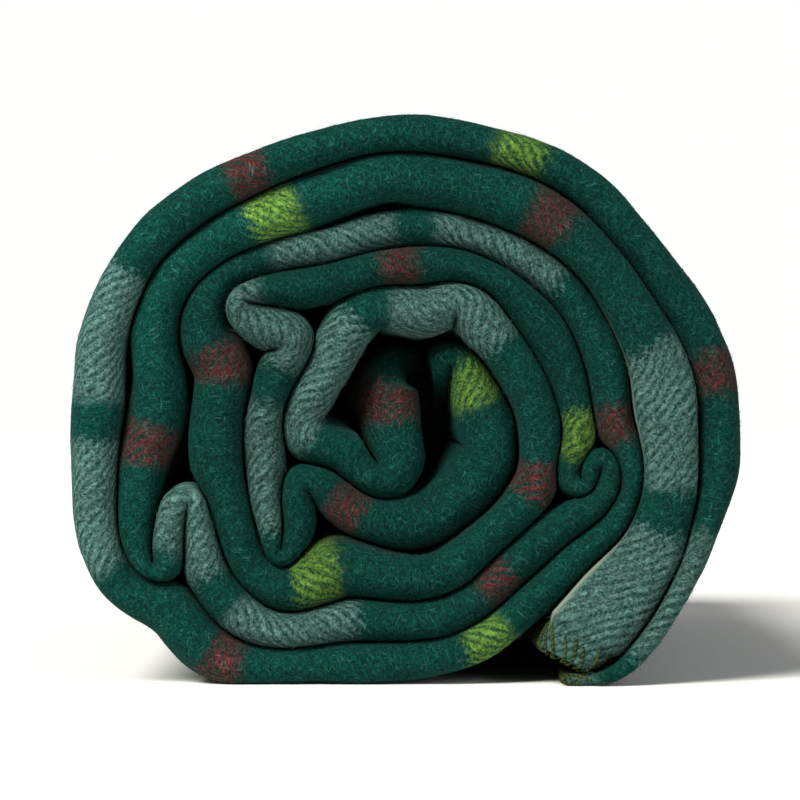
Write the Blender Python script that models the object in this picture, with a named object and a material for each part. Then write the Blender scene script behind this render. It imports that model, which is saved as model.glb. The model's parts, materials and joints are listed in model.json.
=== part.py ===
"""Wool camp blanket, folded in four across its width, doubled end to end and rolled up.

The roll lies on its side: +Y runs along the roll, +Z is up, and the flat patch it rests on is at z = 0.
Both cut ends of the blanket meet at the lower right. They lift together about a hinge high on the roll.
"""
import math

import bmesh
import bpy
import numpy as np

# ---- driving dimensions, in metres -------------------------------------------------------
blanket_width = 1.68
blanket_length = 2.134
cloth_thickness = 0.0029
strand_gap = 0.0010
hinge_gap = 0.0004
nose_depth_share = 0.95
back_chamfer = 0.0015
yarn_thickness = 0.0011
stitch_bight = 0.0056
stitch_gap = 0.0004
hinge_height_above_cloth = 0.0005
turn_per_station = 0.36
station_pitch = 0.014

# ---- the roll's route --------------------------------------------------------------------
# Centreline of the folded strand, from the outer cut end to the middle of the blanket and back out
# to the inner cut end: across, up and thickness in millimetres, for a cloth 2.9 mm thick.
outer_strand_route = [
    (47, 4, 6.5), (53, 3.5, 6.5), (59, 4.5, 6.5), (64.5, 7.5, 6.5), (69.5, 12, 6.5),
    (74.5, 18, 6.5), (78.5, 24.5, 6.5), (82.5, 31.5, 7), (86, 39, 7.5), (88.5, 46.5, 8.5),
    (91, 54.5, 9.5), (93, 64.5, 12), (93, 75, 12.5), (92.5, 85.5, 12.5), (91, 94, 12.5),
    (88, 101.5, 12), (84.5, 109, 12), (79, 117, 12), (72.5, 126, 11), (66, 134, 11),
    (59.5, 141.5, 11), (54, 146.5, 11), (44, 153, 11), (33.5, 157.5, 10.5), (24, 160, 10),
    (13, 162, 10.5), (2.5, 163, 11), (-8, 162.5, 11), (-18, 160.5, 11), (-28.5, 157.5, 11),
    (-39, 154, 11), (-47.5, 150.5, 12), (-58, 145.5, 12.5), (-67, 139.5, 13), (-74.5, 132.5, 13),
    (-80, 125, 13), (-84.5, 117, 13.5), (-88.5, 109, 13.5), (-91, 100, 14), (-91.5, 91, 14),
    (-92, 81, 15), (-92.5, 72, 15), (-92, 60, 15), (-91, 48.5, 15), (-88.5, 39.5, 15.5),
    (-84, 32, 16.5), (-77, 26.5, 17), (-69, 21, 17), (-62, 12.5, 16.5), (-53.5, 7.5, 15.5),
    (-42.5, 6, 13), (-25.5, 6, 12.5), (-11, 6, 12.5), (4, 7, 12), (16, 9.5, 10.5),
    (24.5, 13.5, 10.5), (33.5, 20.5, 10), (42.5, 28.5, 10), (50.5, 37.5, 10), (57.5, 44, 10),
    (63, 51, 9), (66.5, 59, 7.5), (65.5, 69, 10), (61.5, 78, 11), (60.5, 85.5, 11),
    (59.5, 94, 12), (56.5, 103, 12.5), (51, 112, 13), (42, 120.5, 13.5), (33.5, 125, 13.5),
    (24.5, 129.5, 12.5), (16, 133, 12), (1, 134, 12), (-11, 132.5, 11), (-22.5, 129, 10),
    (-34.5, 127.5, 10), (-46, 124.5, 12), (-53.5, 120, 13.5), (-59, 113.5, 15), (-59.5, 103, 16),
    (-54.5, 94, 16.5), (-54.5, 84, 16.5), (-56, 72, 16), (-54.5, 60, 16), (-51.5, 48.5, 16),
    (-47, 36.5, 15.5), (-41, 28.5, 14), (-33, 27, 15.5), (-25.5, 31.5, 19), (-18, 34, 17.5),
    (-11, 33, 16), (-2, 30.5, 14), (7, 30.5, 13.5), (14.5, 34, 13), (21.5, 40.5, 12.5),
    (29, 47, 12), (35, 54.5, 12.5), (39, 61.5, 13.5), (40, 72, 14), (39.5, 81, 13.5),
    (36.5, 88.5, 13.5), (31, 95.5, 13.5), (25, 103, 14), (21, 109.5, 14), (15, 113.5, 14),
    (7, 110.5, 15), (-2, 111.5, 14), (-9.5, 112, 13.5), (-16, 107, 13.5), (-21, 98.5, 13.5),
    (-25.5, 91, 13.5), (-30, 84, 13.5), (-31.5, 76.5, 13), (-26, 70.5, 13), (-18, 67.5, 13),
    (-12.5, 62.5, 13), (-6.5, 61.5, 15), (-3, 67.5, 16), (-2, 76.5, 16), (-3, 84.5, 16),
    (-1.5, 91.5, 13), (3, 93.5, 8.5), (6.5, 90, 6), (8, 82.5, 5.5), (8, 75, 5.5),
]
inner_strand_route = [
    (9.5, 69, 4.5), (12, 74.5, 4.5), (12, 81.5, 4.5), (11, 88.5, 6.5), (13, 95.5, 10),
    (18, 92.5, 13.5), (20.5, 85.5, 15), (24.5, 76.5, 16), (26.5, 69, 16.5), (23, 61.5, 16.5),
    (16, 54.5, 15.5), (7, 48.5, 15), (-2, 47, 15), (-11, 49, 13.5), (-19.5, 54.5, 13),
    (-26, 59, 12), (-30.5, 59, 10.5), (-32.5, 51.5, 11), (-35, 41, 10), (-37.5, 38, 9),
    (-39.5, 42.5, 10), (-42, 54.5, 12), (-42.5, 69, 12.5), (-41.5, 79.5, 13), (-37.5, 90.5, 13.5),
    (-34, 100, 15), (-40.5, 106, 13.5), (-48.5, 110.5, 12), (-50, 113.5, 11), (-44, 116, 10.5),
    (-34.5, 117, 12), (-22.5, 119.5, 12.5), (-13.5, 121.5, 12.5), (-0.5, 124, 13), (13, 124.5, 12.5),
    (21.5, 123, 12.5), (29, 119.5, 12.5), (35, 113.5, 12.5), (41, 106, 13), (44.5, 98.5, 13),
    (47.5, 90, 12), (50, 81, 10), (50, 70.5, 9.5), (48.5, 61, 8.5), (52.5, 58.5, 6.5),
    (55.5, 65.5, 7.5), (59, 66, 7.5), (60.5, 59.5, 8.5), (57, 53, 10), (50.5, 48.5, 10.5),
    (42.5, 44, 10.5), (35, 38.5, 11), (29, 33, 11), (24, 28, 11), (19, 24, 11),
    (11.5, 20.5, 12), (1, 18.5, 12.5), (-9.5, 18.5, 12.5), (-18, 18.5, 12.5), (-28.5, 16.5, 13),
    (-36, 15.5, 14), (-44.5, 17.5, 15.5), (-50.5, 22.5, 16), (-56.5, 29, 15), (-59.5, 38, 13),
    (-61.5, 47, 12), (-64.5, 54.5, 10), (-67.5, 51.5, 10), (-71, 41, 12), (-75, 33.5, 13),
    (-79.5, 38, 13), (-80.5, 48.5, 13.5), (-80, 60, 13.5), (-78, 69, 15), (-75, 76.5, 16.5),
    (-73.5, 84, 16.5), (-73.5, 91, 13.5), (-74.5, 100, 13), (-73.5, 109, 14), (-70, 117, 15),
    (-62.5, 124.5, 15), (-53.5, 131, 15), (-44.5, 135.5, 15), (-34.5, 140.5, 15), (-25.5, 144.5, 15),
    (-16.5, 148, 15), (-5, 150.5, 13.5), (4, 149.5, 15), (16, 146.5, 15.5), (27.5, 144, 16),
    (36.5, 140.5, 16), (44.5, 135.5, 16), (52.5, 128, 15), (58.5, 121, 15), (63.5, 113, 16),
    (69.5, 103, 17), (74.5, 94, 17.5), (76.5, 85.5, 17.5), (77, 75, 17.5), (77, 63, 17),
    (76.5, 53, 16.5), (74.5, 45, 17), (71.5, 37.5, 19.5), (67, 31, 23), (62, 24.5, 25.5),
    (57, 18.5, 26), (52.5, 13, 26), (49, 8.5, 25.5),
]

# How far the front fold stands back from the front plane: share of the route, millimetres.
front_setback = [
    (0.0, -7), (0.012, -6), (0.03, 2), (0.06, 4), (0.09, 2), (0.13, 0), (0.20, 1), (0.25, 0),
    (0.28, 3), (0.31, 6), (0.35, 6), (0.38, 2), (0.42, 1), (0.47, 3), (0.50, 2), (0.515, 4),
    (0.53, 9), (0.54, 15), (0.55, 22), (0.558, 24), (0.565, 19), (0.575, 9), (0.59, 6), (0.62, 4),
    (0.645, 5), (0.662, -1), (0.68, 3), (0.71, 4), (0.735, 5), (0.755, 2), (0.79, 1), (0.82, 0),
    (0.84, 3), (0.87, 3), (0.91, 1), (0.95, 0), (0.975, 0), (0.99, -5), (1.0, -8),
]

# The hinge lies over the outer strand here: across and up, in millimetres.
hinge_mark = (56.5, 143.0)

# Reference values that the route above was laid out for.
layout_length = 2.134
layout_thickness = 0.0029

millimetre = 0.001
fine_step = 1.0
smoothing_length = 2.0


def spline_through(points):
    """Natural cubic spline through the points, by chord length, with a sample every 0.3 mm."""
    chords = np.hypot(np.diff(points[:, 0]), np.diff(points[:, 1]))
    knots = np.concatenate([[0.0], np.cumsum(chords)])
    count = len(knots)
    system = np.eye(count)
    inner = np.arange(1, count - 1)
    system[inner, inner - 1] = chords[:-1]
    system[inner, inner] = 2.0 * (chords[:-1] + chords[1:])
    system[inner, inner + 1] = chords[1:]
    rises = np.diff(points, axis=0) / chords[:, None]
    bends = np.zeros_like(points)
    bends[1:-1] = 6.0 * np.diff(rises, axis=0)
    bends = np.linalg.solve(system, bends)
    where = np.arange(0.0, knots[-1], 0.3)
    span = np.clip(np.searchsorted(knots, where, "right") - 1, 0, count - 2)
    before = (knots[span + 1] - where) / chords[span]
    after = 1.0 - before
    curve = before[:, None] * points[span] + after[:, None] * points[span + 1]
    curve += (before ** 3 - before)[:, None] * bends[span] * (chords[span] ** 2)[:, None] / 6.0
    curve += (after ** 3 - after)[:, None] * bends[span + 1] * (chords[span] ** 2)[:, None] / 6.0
    curve[:, 2] = np.interp(where, knots, points[:, 2])
    return curve


def smoothed(values, width):
    """Gaussian smoothing along the first axis; width in samples. The ends stay in place."""
    reach = int(3 * width)
    kernel = np.exp(-0.5 * (np.arange(-reach, reach + 1) / width) ** 2)
    kernel /= kernel.sum()
    result = np.empty_like(values)
    for column in range(values.shape[1]):
        line = values[:, column]
        start = 2.0 * line[0] - line[reach:0:-1]
        finish = 2.0 * line[-1] - line[-2:-reach - 2:-1]
        result[:, column] = np.convolve(np.concatenate([start, line, finish]), kernel, "valid")
    return result


def evenly_spaced(curve, step):
    """The curve with one station every step along its length."""
    lengths = np.hypot(np.diff(curve[:, 0]), np.diff(curve[:, 1]))
    along = np.concatenate([[0.0], np.cumsum(lengths)])
    stations = np.linspace(0.0, along[-1], int(round(along[-1] / step)) + 1)
    columns = [np.interp(stations, along, curve[:, column]) for column in range(3)]
    return np.stack(columns, axis=1), stations


def directions(curve):
    """Unit tangent and left-hand normal at each station."""
    tangent = np.gradient(curve[:, :2], axis=0)
    tangent /= np.linalg.norm(tangent, axis=1)[:, None]
    normal = np.stack([-tangent[:, 1], tangent[:, 0]], axis=1)
    return tangent, normal


def room_beside(curve, normal):
    """Space on each side of the centreline, shared with the neighbouring turns by thickness.

    A circle that touches the centreline at one station and passes through another has the radius
    distance squared over twice the offset along the normal. The smallest such circle is the room.
    """
    gap = curve[None, :, :2] - curve[:, None, :2]
    squared = (gap ** 2).sum(axis=2)
    offset = (gap * normal[:, None, :]).sum(axis=2)
    share = curve[:, 2][:, None] / (curve[:, 2][:, None] + curve[:, 2][None, :])
    safe = np.where(np.abs(offset) < 1e-6, 1e-6, offset)
    radius = squared / safe * share
    far = 1e6
    left = np.where(offset > 1e-6, radius, far).min(axis=1)
    right = np.where(offset < -1e-6, -radius, far).min(axis=1)
    return left, right


def lay_out_roll():
    """Stations of the whole strand in metres: position, directions, half thicknesses, setback."""
    points = np.array(outer_strand_route + inner_strand_route, dtype=float)
    curve = smoothed(spline_through(points), smoothing_length / 0.3)
    curve, along = evenly_spaced(curve, fine_step)
    tangent, normal = directions(curve)
    left_room, right_room = room_beside(curve, normal)
    growth = math.sqrt(blanket_length * cloth_thickness / (layout_length * layout_thickness))
    half_gap = 0.5 * strand_gap / (millimetre * growth)
    halves = []
    for room in (left_room, right_room):
        half = np.minimum(0.5 * curve[:, 2], room - half_gap)
        half = np.maximum(half, 0.6)
        half = np.minimum(half, smoothed(half[:, None], 2.0)[:, 0])
        halves.append(half)
    shares = along / along[-1]
    marks = np.array(front_setback, dtype=float)
    setback = np.interp(shares, marks[:, 0], marks[:, 1])
    setback = smoothed(setback[:, None], 12.0)[:, 0]
    to_metres = millimetre * growth
    faces = np.concatenate([curve[:, 0] + normal[:, 0] * halves[0], curve[:, 0] - normal[:, 0] * halves[1]])
    middle_x = 0.5 * (faces.max() + faces.min())
    middle_y = 0.5 * (setback.max() + setback.min())
    setback = setback - middle_y
    return {
        "centre": (curve[:, :2] - np.array([middle_x, 0.0])) * to_metres,
        "shift": np.array([-middle_x, 0.0]) * to_metres,
        "tangent": tangent,
        "normal": normal,
        "left": halves[0] * to_metres,
        "right": halves[1] * to_metres,
        "setback": setback * to_metres,
        "along": along * to_metres,
        "scale": to_metres,
    }


def chosen_stations(roll, first, last):
    """Station numbers from first to last, closer together where the strand bends."""
    tangent = roll["tangent"]
    angle = np.unwrap(np.arctan2(tangent[:, 1], tangent[:, 0]))
    turn = np.abs(np.gradient(angle))
    step = np.gradient(roll["along"])
    measure = np.cumsum(turn / turn_per_station + step / station_pitch)
    amount = measure[last] - measure[first]
    wanted = np.linspace(measure[first], measure[last], max(int(math.ceil(amount)), 3) + 1)
    return np.unique(np.round(np.interp(wanted, measure, np.arange(len(measure)))).astype(int))


def section(left, right, front, back, inset):
    """Closed outline across the strand: rounded front fold, flat faces, chamfered back."""
    left = left - inset
    right = right - inset
    front = front + inset
    back = back - inset
    nose = nose_depth_share * 0.5 * (left + right)
    middle = 0.5 * (left - right)
    half = 0.5 * (left + right)
    outline = []
    for degrees in (0, 30, 60, 90, 120, 150, 180):
        turn = math.radians(degrees)
        outline.append((middle - half * math.cos(turn), front + nose * (1.0 - math.sin(turn))))
    chamfer = min(back_chamfer, 0.4 * half)
    outline.append((left, back - chamfer))
    outline.append((left - chamfer, back))
    outline.append((chamfer - right, back))
    outline.append((-right, back - chamfer))
    return outline


def station_ring(roll, station, inset):
    """World points of the strand's outline at one station."""
    centre = roll["centre"][station]
    normal = roll["normal"][station]
    half_length = 0.125 * blanket_width
    front = roll["setback"][station] - half_length
    back = roll["setback"][station] + half_length
    outline = section(roll["left"][station], roll["right"][station], front, back, inset)
    ring = []
    for across, depth in outline:
        up = centre[1] + normal[1] * across
        ring.append((centre[0] + normal[0] * across, depth, max(up, 0.0)))
    return ring


def shifted(ring, direction, distance):
    """The ring moved along a direction in the XZ plane, never below the floor."""
    step_x = direction[0] * distance
    step_z = direction[1] * distance
    return [(x + step_x, y, max(z + step_z, 0.0)) for x, y, z in ring]


def material_for(name, colour):
    """A plain matt colour."""
    material = bpy.data.materials.new(name)
    material.use_nodes = True
    shader = material.node_tree.nodes["Principled BSDF"]
    shader.inputs["Base Color"].default_value = (*colour, 1.0)
    shader.inputs["Roughness"].default_value = 0.95
    return material


def solid_from_rings(name, rings, colour, hinge):
    """One closed solid through the rings, capped at both ends, with its origin on the hinge."""
    work = bmesh.new()
    loops = [[work.verts.new(point) for point in ring] for ring in rings]
    size = len(loops[0])
    for here, there in zip(loops[:-1], loops[1:]):
        for corner in range(size):
            after = (corner + 1) % size
            work.faces.new((here[corner], here[after], there[after], there[corner]))
    work.faces.new(loops[0])
    work.faces.new(list(reversed(loops[-1])))
    bmesh.ops.dissolve_degenerate(work, dist=1e-5, edges=work.edges[:])
    bmesh.ops.triangulate(work, faces=work.faces[:])
    bmesh.ops.recalc_face_normals(work, faces=work.faces[:])
    if work.calc_volume(signed=True) < 0.0:
        bmesh.ops.reverse_faces(work, faces=work.faces[:])
    bmesh.ops.translate(work, verts=work.verts[:], vec=(-hinge[0], 0.0, -hinge[1]))
    for face in work.faces:
        face.smooth = True
    mesh = bpy.data.meshes.new(name)
    work.to_mesh(mesh)
    work.free()
    mesh.set_sharp_from_angle(angle=math.radians(50))
    mesh.materials.append(material_for(name + "_colour", colour))
    item = bpy.data.objects.new(name, mesh)
    item.location = (hinge[0], 0.0, hinge[1])
    bpy.context.scene.collection.objects.link(item)
    return item


def strand_solid(name, roll, hinge_end, far_end, hem_is_far, colour, hinge):
    """The strand from a hinge cut to its other end, which is a stitched hem or the other cut."""
    step = fine_step * roll["scale"]
    toward = 1 if far_end > hinge_end else -1
    low, high = sorted((hinge_end, far_end))
    stations = chosen_stations(roll, low, high)
    if toward < 0:
        stations = stations[::-1]
    half_cut = 0.5 * hinge_gap
    if not hem_is_far:
        rings = [station_ring(roll, station, 0.0) for station in stations]
        rings[0] = shifted(rings[0], roll["tangent"][stations[0]], half_cut * toward)
        rings[-1] = shifted(rings[-1], roll["tangent"][stations[-1]], -half_cut * toward)
        return solid_from_rings(name, rings, colour, hinge)
    thin = yarn_thickness + stitch_gap
    clear_of_wall = int(math.ceil(thin / step))
    under_yarn = int(round(stitch_bight / step)) + 1
    beyond_yarn = under_yarn + 2
    kept = [station for station in stations if abs(station - far_end) > beyond_yarn + 1]
    rings = [station_ring(roll, station, 0.0) for station in kept]
    rings[0] = shifted(rings[0], roll["tangent"][kept[0]], half_cut * toward)
    rings.append(station_ring(roll, far_end - toward * beyond_yarn, 0.0))
    for number in range(under_yarn, clear_of_wall, -2):
        rings.append(station_ring(roll, far_end - toward * number, thin))
    rings.append(station_ring(roll, far_end - toward * clear_of_wall, thin))
    return solid_from_rings(name, rings, colour, hinge)


def hem_solid(name, roll, end, inward, colour, hinge):
    """Whip stitching over a cut end: a thin cup of yarn over both faces, the fold and the edge."""
    step = fine_step * roll["scale"]
    reach = int(round(stitch_bight / step))
    stations = [end + inward * number for number in range(0, reach + 1, 2)]
    outer = [station_ring(roll, station, 0.0) for station in stations]
    inner = [station_ring(roll, station, yarn_thickness) for station in stations]
    inner[0] = shifted(inner[0], roll["tangent"][end], inward * yarn_thickness)
    rings = inner + outer[::-1]
    return solid_from_rings(name, rings, colour, hinge)


# ---- build -------------------------------------------------------------------------------
for item in list(bpy.data.objects):
    bpy.data.objects.remove(item, do_unlink=True)

roll = lay_out_roll()
centre = roll["centre"]
last_station = len(centre) - 1

mark = np.array(hinge_mark) * roll["scale"] + roll["shift"]
half_route = last_station // 2
outer_cut = int(np.argmin(np.hypot(*(centre[:half_route] - mark).T)))
cut_direction = roll["tangent"][outer_cut]
outward = -roll["normal"][outer_cut]
hinge_height = roll["right"][outer_cut] + hinge_height_above_cloth
hinge_point = centre[outer_cut] + outward * hinge_height

last_turn = np.arange(int(0.85 * last_station), last_station)
ahead = (centre[last_turn] - centre[outer_cut]) @ cut_direction
beside = np.hypot(*(centre[last_turn] - centre[outer_cut]).T)
inner_cut = int(last_turn[np.argmin(np.abs(ahead) + 0.2 * beside)])

cloth_green = (0.012, 0.115, 0.095)
hinge_xz = (float(hinge_point[0]), float(hinge_point[1]))
ground = (0.0, 0.0)

strand_solid("blanket_roll", roll, outer_cut, inner_cut, False, cloth_green, ground)
strand_solid("outer_end", roll, outer_cut, 0, True, (0.015, 0.100, 0.085), hinge_xz)
strand_solid("inner_end", roll, inner_cut, last_station, True, (0.090, 0.220, 0.180), hinge_xz)
hem_solid("outer_hem_stitching", roll, 0, 1, (0.050, 0.085, 0.035), hinge_xz)
hem_solid("inner_hem_stitching", roll, last_station, -1, (0.055, 0.090, 0.040), hinge_xz)
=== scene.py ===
# %% [markdown]
# # A wool camp blanket, folded and rolled
#
# This file builds the looks of one thing: a heavy plaid camp blanket that was folded in half twice
# across its width, doubled end to end, and rolled up from the doubled middle. Seen from the front
# fold, two thick strands spiral round each other, and both whip-stitched cut ends lie at the lower
# right, where the loose end lifts.
#
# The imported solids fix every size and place. Each step below explains a piece or a finish first,
# and then makes it.

import json
import math

import bpy
import numpy as np
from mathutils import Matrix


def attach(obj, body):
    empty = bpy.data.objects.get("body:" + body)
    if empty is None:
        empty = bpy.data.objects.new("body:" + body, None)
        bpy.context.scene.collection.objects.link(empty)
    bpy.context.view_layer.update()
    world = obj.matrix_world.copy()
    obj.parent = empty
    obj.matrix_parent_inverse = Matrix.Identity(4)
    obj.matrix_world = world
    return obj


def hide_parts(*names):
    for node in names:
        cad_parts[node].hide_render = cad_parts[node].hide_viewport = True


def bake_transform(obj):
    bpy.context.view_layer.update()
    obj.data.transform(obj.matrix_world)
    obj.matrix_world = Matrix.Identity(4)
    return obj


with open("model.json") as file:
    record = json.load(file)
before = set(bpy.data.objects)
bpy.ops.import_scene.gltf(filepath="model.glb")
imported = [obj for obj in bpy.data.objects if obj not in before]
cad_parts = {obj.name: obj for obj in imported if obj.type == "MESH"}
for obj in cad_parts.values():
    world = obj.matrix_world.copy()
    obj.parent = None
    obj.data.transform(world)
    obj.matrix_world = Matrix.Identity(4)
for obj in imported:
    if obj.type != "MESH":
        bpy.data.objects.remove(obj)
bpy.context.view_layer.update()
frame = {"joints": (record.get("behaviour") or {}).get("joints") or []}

# %% [markdown]
# ## The sheet
#
# A twin camp blanket is cut 66 by 84 inches. Folded in half twice across its width it is a strand
# four plies thick and a quarter of the width long, which is the length of the roll. The yarns are
# coarse, and the cloth is fulled: washed hot until its fibres mat together.

# %% The blanket's measures, in metres
sheet_width = 1.68
roll_length = sheet_width / 4
strand_gap = 0.0003
stitch_pitch = 0.0023
stitch_bight = 0.0075
yarn_thickness = 0.0009
hair_length = 0.0018
hair_radius = 0.00003
cloth_above_floor = 0.0003
yarn_above_floor = 0.0002
free_outside = 0.60
millimetre = 0.001
print("roll", roll_length, "m long, four plies thick")

# %% [markdown]
# ## The way round the roll
#
# The folded strand is a ribbon on edge, so its path is a curve in the plane of the roll's end. The
# list gives points on its middle: across, up and thickness in millimetres, first from
# the outer cut end inwards, then back out beside itself. A second list says how far the front fold
# stands back from the front plane, because the middle of a roll always slips inwards.

# %% The route of the folded strand
def table(text):
    """Rows of numbers written with commas between the rows."""
    return np.array([row.split() for row in text.split(",")], dtype=float)


outer_strand_route = table("""
    47 2.3 4.2, 53 2.2 4.2, 59 3.2 4.6, 64.5 6.5 5.4, 69.5 11.6 6.2, 74.5 18 6.5, 78.5 24.5 6.5,
    82.5 31.5 7, 86 39 7.5, 88.5 46.5 8.5, 91 54.5 9.5, 93 64.5 12, 93 75 12.5, 92.5 85.5 12.5,
    91 94 12.5, 88 101.5 12, 84.5 109 12, 79 117 12, 72.5 126 11, 66 134 11, 59.5 141.5 11,
    54 146.5 11, 44 153 11, 33.5 157.5 10.5, 24 160 10, 13 162 10.5, 2.5 163 11, -8 162.5 11,
    -18 160.5 11, -28.5 157.5 11, -39 154 11, -47.5 150.5 12, -58 145.5 12.5, -67 139.5 13,
    -74.5 132.5 13, -80 125 13, -84.5 117 13.5, -88.5 109 13.5, -91 100 14, -91.5 91 14, -92 81 15,
    -92.5 72 15, -92 60 15, -91 48.5 15, -88.5 39.5 15.5, -84 32 16.5, -77 26.5 17, -69 21 17,
    -62 12.5 16.5, -53.5 7.5 15.5, -42.5 6 13, -25.5 6 12.5, -11 6 12.5, 4 7 12, 16 9.5 10.5,
    24.5 13.5 10.5, 33.5 20.5 10, 42.5 28.5 10, 50.5 37.5 10, 57.5 44 10, 63 51 9, 66.5 59 7.5,
    65.5 69 10, 61.5 78 11, 60.5 85.5 11, 59.5 94 12, 56.5 103 12.5, 51 112 13, 42 120.5 13.5,
    33.5 125 13.5, 24.5 129.5 12.5, 16 133 12, 1 134 12, -11 132.5 11, -22.5 129 10,
    -34.5 127.5 10, -46 124.5 12, -53.5 120 13.5, -59 113.5 15, -59.5 103 16, -54.5 94 16.5,
    -54.5 84 16.5, -56 72 16, -54.5 60 16, -51.5 48.5 16, -47 36.5 15.5, -41 28.5 14, -33 27 15.5,
    -25.5 31.5 19, -18 34 17.5, -11 33 16, -2 30.5 14, 7 30.5 13.5, 14.5 34 13, 21.5 40.5 12.5,
    29 47 12, 35 54.5 12.5, 39 61.5 13.5, 40 72 14, 39.5 81 13.5, 36.5 88.5 13.5, 31 95.5 13.5,
    25 103 14, 21 109.5 14, 15 113.5 14, 7 110.5 15, -2 111.5 14, -9.5 112 13.5, -16 107 13.5,
    -21 98.5 13.5, -25.5 91 13.5, -30 84 13.5, -31.5 76.5 13, -26 70.5 13, -18 67.5 13,
    -12.5 62.5 13, -6.5 61.5 17, -3.5 67.5 19, -3 76.5 20, -4 84.5 19, -2.5 91.5 15, 3 93.5 8.5,
    6.5 90 6, 8 82.5 5.5, 8 75 5.5
""")
inner_strand_route = table("""
    9.5 69 4.5, 12 74.5 4.5, 12 81.5 4.5, 11 88.5 6.5, 13 95.5 10, 18 92.5 13.5, 20.5 85.5 15,
    24.5 76.5 16, 26.5 69 16.5, 23 61.5 16.5, 16 54.5 15.5, 7 48.5 15, -2 47 15, -11 49 13.5,
    -19.5 54.5 13, -26 59 12, -30.5 59 10.5, -32.5 51.5 11, -35 41 10, -37.5 38 9, -39.5 42.5 10,
    -42 54.5 12, -42.5 69 12.5, -41.5 79.5 13, -37.5 90.5 13.5, -34 100 15, -40.5 106 13.5,
    -48.5 110.5 12, -50 113.5 11, -44 116 10.5, -34.5 117 12, -22.5 119.5 12.5, -13.5 121.5 12.5,
    -0.5 124 13, 13 124.5 12.5, 21.5 123 12.5, 29 119.5 12.5, 35 113.5 12.5, 41 106 13,
    44.5 98.5 13, 47.5 90 12, 50 81 10, 50 70.5 9.5, 48.5 61 8.5, 52.5 58.5 6.5, 55.5 65.5 7.5,
    59 66 7.5, 60.5 59.5 8.5, 57 53 10, 50.5 48.5 10.5, 42.5 44 10.5, 35 38.5 11, 29 33 11,
    24 28 11, 19 24 11, 11.5 20.5 12, 1 18.5 12.5, -9.5 18.5 12.5, -18 18.5 12.5, -28.5 16.5 13,
    -36 15.5 14, -44.5 17.5 15.5, -50.5 22.5 16, -56.5 29 15, -59.5 38 13, -61.5 47 12,
    -64.5 54.5 10, -67.5 51.5 10, -71 41 12, -75 33.5 13, -79.5 38 13, -80.5 48.5 13.5,
    -80 60 13.5, -78 69 15, -75 76.5 16.5, -73.5 84 16.5, -73.5 91 13.5, -74.5 100 13,
    -73.5 109 14, -70 117 15, -62.5 124.5 15, -53.5 131 15, -44.5 135.5 15, -34.5 140.5 15,
    -25.5 144.5 15, -16.5 148 15, -5 150.5 13.5, 4 149.5 15, 16 146.5 15.5, 27.5 144 16,
    36.5 140.5 16, 44.5 135.5 16, 52.5 128 15, 58.5 121 15, 63.5 113 16, 69.5 103 17, 74.5 94 17.5,
    76.5 85.5 17.5, 77 75 17.5, 77 63 17, 76.5 53 16.5, 74.5 45 17, 71.5 37.5 19.5, 67 31 23,
    62 24.5 25.5, 56.5 18 26, 52.5 12 25.5, 49.3 6.2 24
""")

# Share of the route, and millimetres behind the front plane.
front_setback = table("""
    0.0 -7, 0.012 -6, 0.03 2, 0.06 4, 0.09 2, 0.13 0, 0.20 1, 0.25 0, 0.28 3, 0.31 6, 0.35 6,
    0.38 2, 0.42 1, 0.47 3, 0.50 2, 0.515 4, 0.53 9, 0.54 15, 0.55 22, 0.558 24, 0.565 19, 0.575 9,
    0.59 6, 0.62 4, 0.645 5, 0.662 -1, 0.68 3, 0.71 4, 0.735 5, 0.755 2, 0.79 1, 0.82 0, 0.84 3,
    0.87 3, 0.91 1, 0.95 0, 0.975 0, 0.99 -5, 1.0 -8
""")
print(len(outer_strand_route) + len(inner_strand_route), "points on the route")

# %% [markdown]
# A natural cubic spline through the points bends the way springy cloth does. A light Gaussian blur
# takes out the last kinks, and the curve is then cut into even half-millimetre steps.

# %% A smooth curve through the points
def spline_through(points):
    """Natural cubic spline by chord length: on each span the point is the blend of its two ends
    plus (share cubed minus share) times each end's bend, sampled every 0.3 mm."""
    chords = np.hypot(np.diff(points[:, 0]), np.diff(points[:, 1]))
    knots = np.concatenate([[0.0], np.cumsum(chords)])
    count = len(knots)
    system = np.eye(count)
    inner = np.arange(1, count - 1)
    system[inner, inner - 1] = chords[:-1]
    system[inner, inner] = 2.0 * (chords[:-1] + chords[1:])
    system[inner, inner + 1] = chords[1:]
    rises = np.diff(points, axis=0) / chords[:, None]
    bends = np.zeros_like(points)
    bends[1:-1] = 6.0 * np.diff(rises, axis=0)
    bends = np.linalg.solve(system, bends)
    where = np.arange(0.0, knots[-1], 0.3)
    span = np.clip(np.searchsorted(knots, where, "right") - 1, 0, count - 2)
    before = (knots[span + 1] - where) / chords[span]
    after = 1.0 - before
    curve = before[:, None] * points[span] + after[:, None] * points[span + 1]
    curve += (before ** 3 - before)[:, None] * bends[span] * (chords[span] ** 2)[:, None] / 6.0
    curve += (after ** 3 - after)[:, None] * bends[span + 1] * (chords[span] ** 2)[:, None] / 6.0
    curve[:, 2] = np.interp(where, knots, points[:, 2])
    return curve


def smoothed(values, width):
    """Each column convolved with a bell curve of this width in samples; the ends stay in place."""
    reach = int(3 * width)
    bell = np.exp(-0.5 * (np.arange(-reach, reach + 1) / width) ** 2)
    bell /= bell.sum()
    start = 2.0 * values[:1] - values[reach:0:-1]
    finish = 2.0 * values[-1:] - values[-2:-reach - 2:-1]
    padded = np.concatenate([start, values, finish])
    return np.stack([np.convolve(column, bell, "valid") for column in padded.T], axis=1)


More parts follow.
